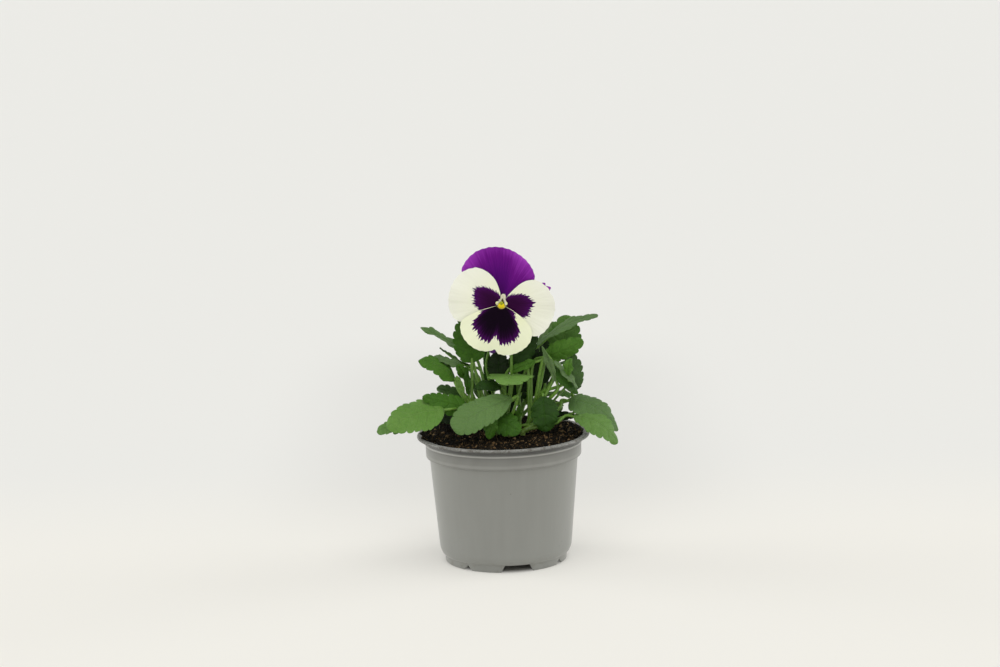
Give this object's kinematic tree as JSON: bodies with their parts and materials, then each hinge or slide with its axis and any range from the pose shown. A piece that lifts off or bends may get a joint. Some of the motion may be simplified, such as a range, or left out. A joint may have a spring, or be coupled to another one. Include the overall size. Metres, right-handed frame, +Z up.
{
  "type": "potted pansy planter",
  "caption": "Flowering pansy in a small round plastic grower's pot, with toothed leaves, a white and purple bloom and a nodding bud.",
  "frame": {"origin": "on the surface the pot stands on, under the middle of the whole plant's outline", "axes": "+Z up along the pot's axis, -Y towards the front, where the flower faces, +X to the right seen from the front"},
  "size_m": [0.1442, 0.1098, 0.1932],
  "materials": {
    "pot": "grey moulded plastic, satin",
    "soil": "moist dark peat with red-brown crumbs and fibres",
    "leaf": "green leaf, soft waxy sheen, paler underneath",
    "stalk": "yellow-green, smooth and slightly shiny",
    "petal_purple": "velvety purple with darker veins",
    "petal_white": "velvety cream white with a dark violet feathered blotch",
    "eye": "bright yellow throat with a green stigma"
  },
  "bodies": {
    "root": {"pot": "pot", "soil": "soil", "leafy_stem_left": "leaf", "leafy_stem_front_left": "leaf", "leafy_stem_front": "leaf", "leafy_stem_middle": "leaf", "leafy_stem_right": "leaf", "leafy_stem_right_low": "leaf", "leafy_stem_back_left": "leaf", "leafy_stem_back_right": "leaf", "flower_stalk": "stalk", "bud_stalk": "stalk", "bud": "petal_purple", "petal_upper_back": "petal_purple", "petal_upper_front": "petal_purple", "petal_side_left": "petal_white", "petal_side_right": "petal_white", "petal_lower": "petal_white", "flower_eye": "eye"}
  },
  "joints": []
}
